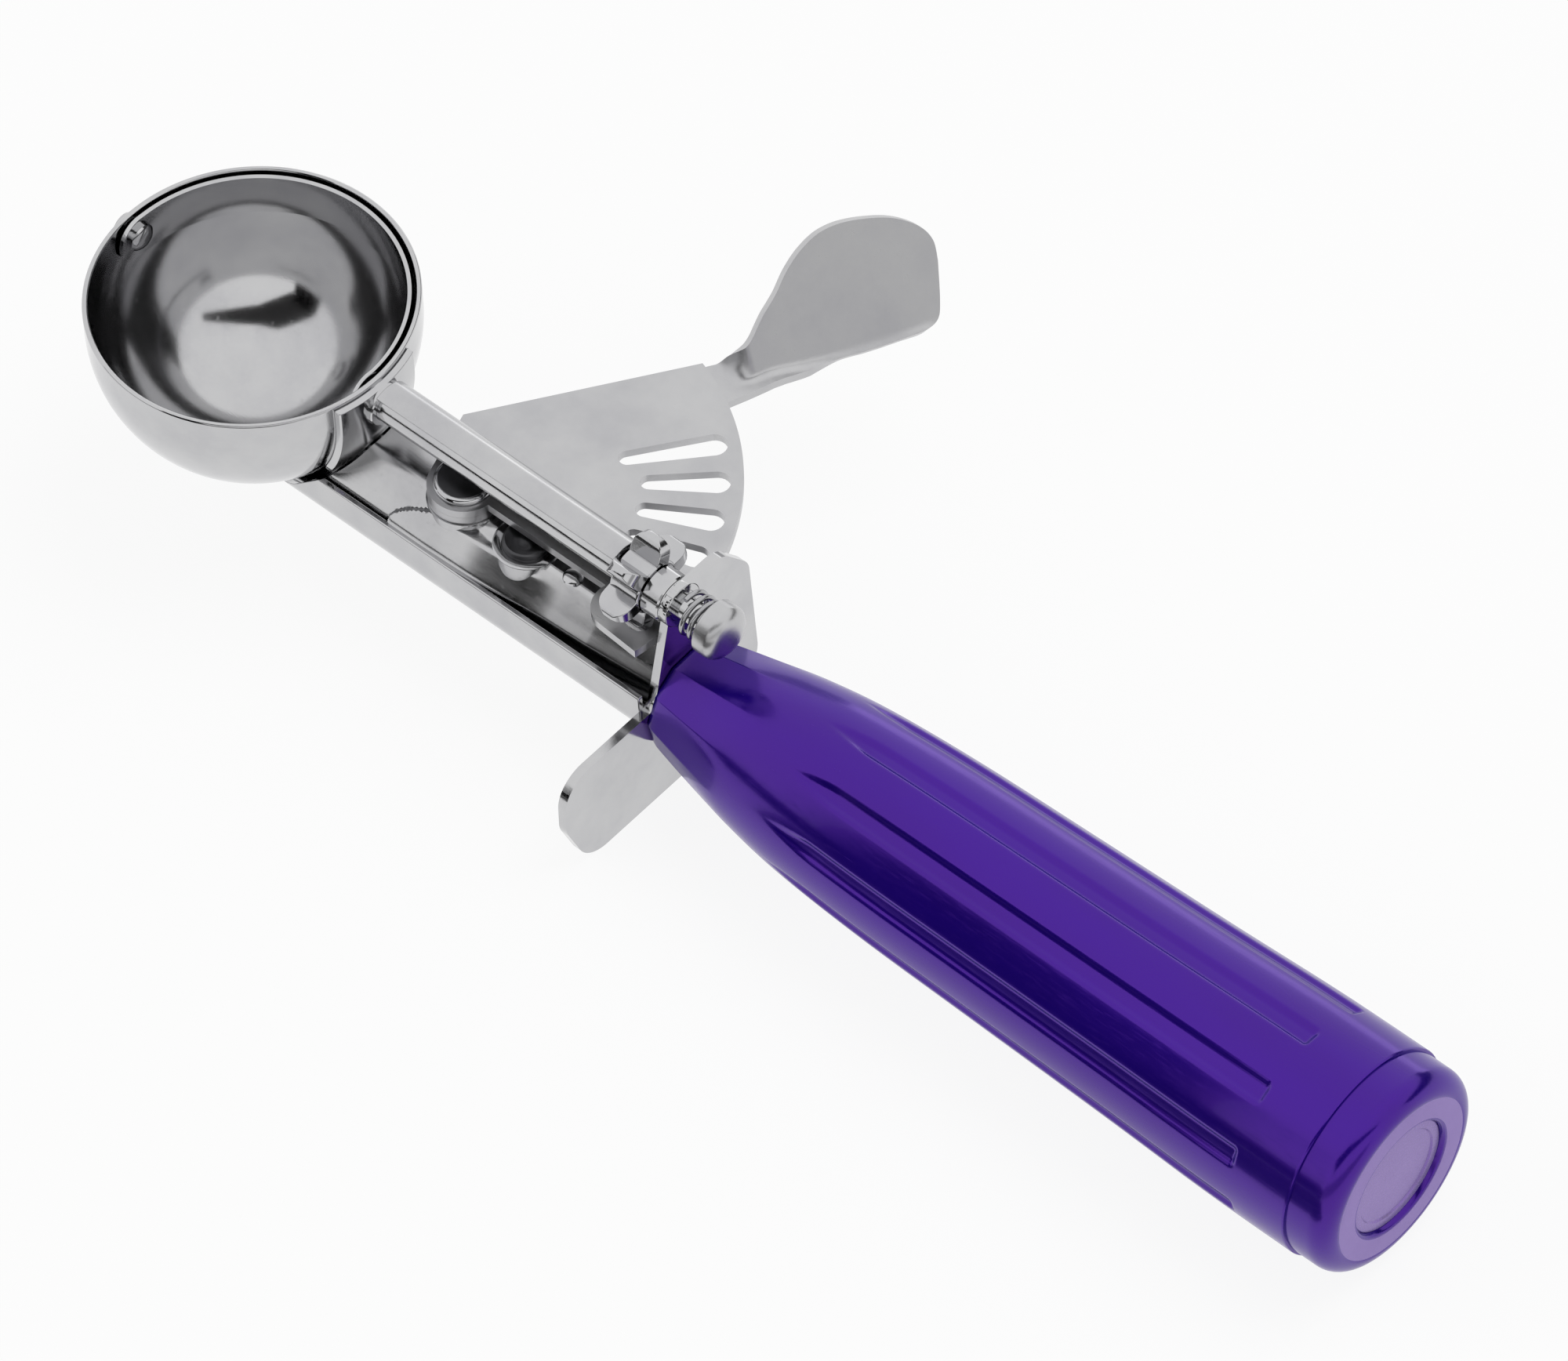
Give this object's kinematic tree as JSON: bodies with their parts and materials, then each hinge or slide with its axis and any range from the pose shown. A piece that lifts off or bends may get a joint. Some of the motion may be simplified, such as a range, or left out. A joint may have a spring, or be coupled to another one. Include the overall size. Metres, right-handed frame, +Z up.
{
  "type": "lever ice cream scoop",
  "caption": "Portion scoop: round steel bowl with a swinging scraper blade, geared to a sprung thumb lever by a slotted sector and pinion, on a fluted moulded handle.",
  "frame": {"origin": "middle of the footprint, on the table that the scoop lies on with its bowl opening up", "axes": "+X from the bowl along the handle, +Y the thumb lever's side, +Z up out of the bowl"},
  "size_m": [0.2022, 0.0834, 0.0376],
  "materials": {
    "polished_steel": "polished",
    "satin_steel": "satin",
    "spring_steel": "bright",
    "brass_bush": "plain",
    "violet_grip": "gloss",
    "butt_disc": "gloss"
  },
  "bodies": {
    "frame": {"scoop_bowl": "polished_steel", "bowl_saddle": "polished_steel", "shaft_bushing": "brass_bush", "tip_bushing": "brass_bush", "shaft_cover": "polished_steel", "pivot_rivet": "polished_steel", "pivot_washer": "polished_steel", "shank_channel": "polished_steel", "pivot_plate": "polished_steel", "brace_rivet": "polished_steel", "brace_washer": "polished_steel", "small_rivet": "polished_steel", "guard_plate": "satin_steel", "rear_bearing": "brass_bush", "tang": "satin_steel", "shank_rivets": "polished_steel", "handle_grip": "violet_grip", "butt_disc": "butt_disc", "return_spring": "spring_steel"},
    "scraper": {"scraper_blade": "polished_steel", "blade_tip_pin": "polished_steel", "scraper_shaft": "polished_steel", "drive_pinion": "polished_steel", "pinion_pin": "polished_steel", "thrust_spacer": "polished_steel", "shaft_end_cap": "polished_steel"},
    "lever": {"sector_plate": "satin_steel", "thumb_lever": "satin_steel", "pivot_bush": "brass_bush"}
  },
  "joints": [
    {"name": "lever_pivot", "type": "hinge", "parent": "frame", "child": "lever", "pos_m": [-0.04492, -0.01985, 0.0248], "axis": [0, 0, -1], "range_deg": [0, 33], "stiffness_Nm_per_rad": 0.5, "springref_deg": -28.65},
    {"name": "scraper_turn", "type": "hinge", "parent": "frame", "child": "scraper", "pos_m": [-0.07913, -0.01985, 0.031], "axis": [-1, 0, 0], "range_deg": [0, 180], "deforming": ["return_spring"]}
  ],
  "couplings": [
    {"joint": "scraper_turn", "follows": "lever_pivot", "ratio": 5.4545}
  ]
}
